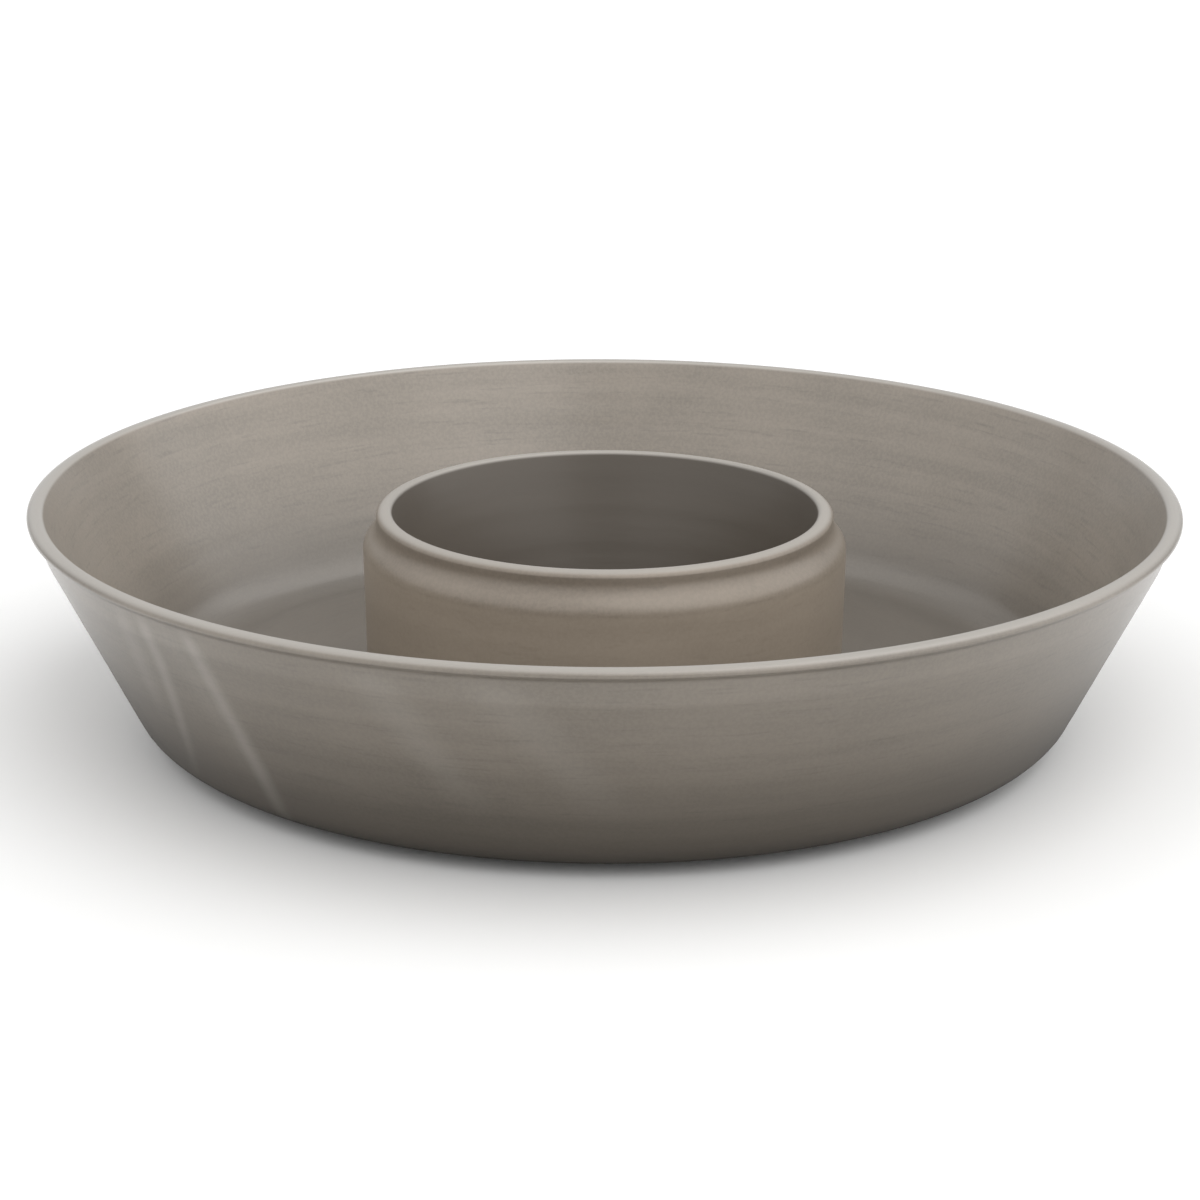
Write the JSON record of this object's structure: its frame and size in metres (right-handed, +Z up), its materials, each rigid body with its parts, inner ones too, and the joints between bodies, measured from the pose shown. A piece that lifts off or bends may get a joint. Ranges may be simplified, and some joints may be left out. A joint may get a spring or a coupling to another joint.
{
  "type": "chip and dip server",
  "caption": "Wide flared serving bowl with a ring-shaped trough for chips and a shouldered dip cup that stands in its middle and lifts out.",
  "frame": {"origin": "under the centre of the bowl, on the surface that its foot ring stands on", "axes": "+Z up along the axis of revolution of the bowl and the cup; X and Y are level"},
  "size_m": [0.356, 0.356, 0.073],
  "materials": {
    "satin_glaze": "satin warm pewter-grey glaze with faint turning lines"
  },
  "bodies": {
    "bowl": {"chip_bowl": "satin_glaze"},
    "cup": {"dip_cup": "satin_glaze"}
  },
  "joints": [
    {"name": "dip_cup_lift", "type": "slide", "parent": "bowl", "child": "cup", "axis": [0, 0, 1], "range_m": [0, 0.09]}
  ]
}
